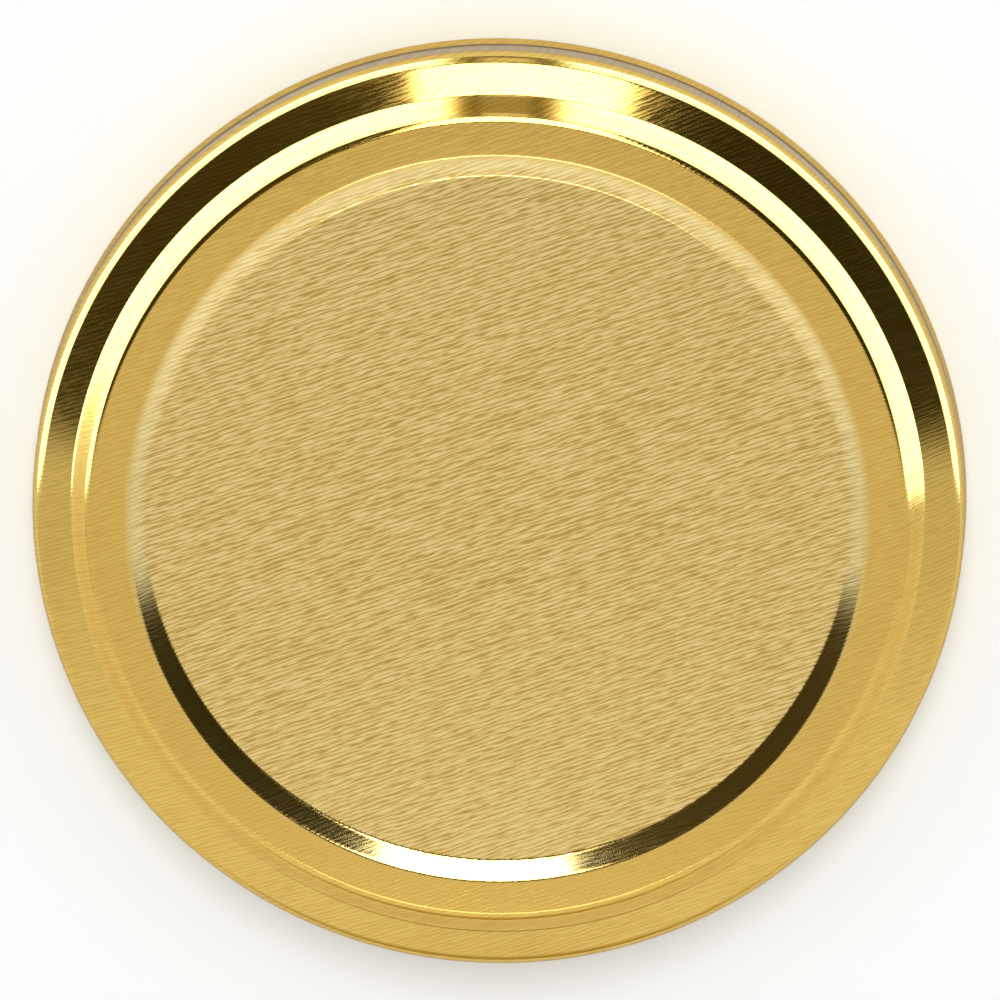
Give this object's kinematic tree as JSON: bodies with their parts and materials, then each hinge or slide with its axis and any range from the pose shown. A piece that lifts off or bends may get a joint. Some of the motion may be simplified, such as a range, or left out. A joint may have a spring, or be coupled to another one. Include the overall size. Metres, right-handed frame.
{
  "type": "twist-off lid",
  "caption": "Round metal twist-off lid for a wide glass jar: sunk panel, flat crown, stepped ledge, curled rim with inward lugs and a sealing ring.",
  "frame": {"origin": "centre of the circle that the curled rim stands on, with the lid's top up", "axes": "+Z along the lid's own axis, from the rim towards the top; +X and +Y lie midway between two lugs and through a lug's middle"},
  "size_m": [0.0852, 0.0852, 0.01],
  "materials": {
    "gold_tinplate": "tinplate with a straight brushed grain under clear gold lacquer",
    "sealing_compound": "soft cream sealing compound, smooth and slightly glossy"
  },
  "bodies": {
    "root": {"lid_shell": "gold_tinplate", "sealing_ring": "sealing_compound"}
  },
  "joints": []
}
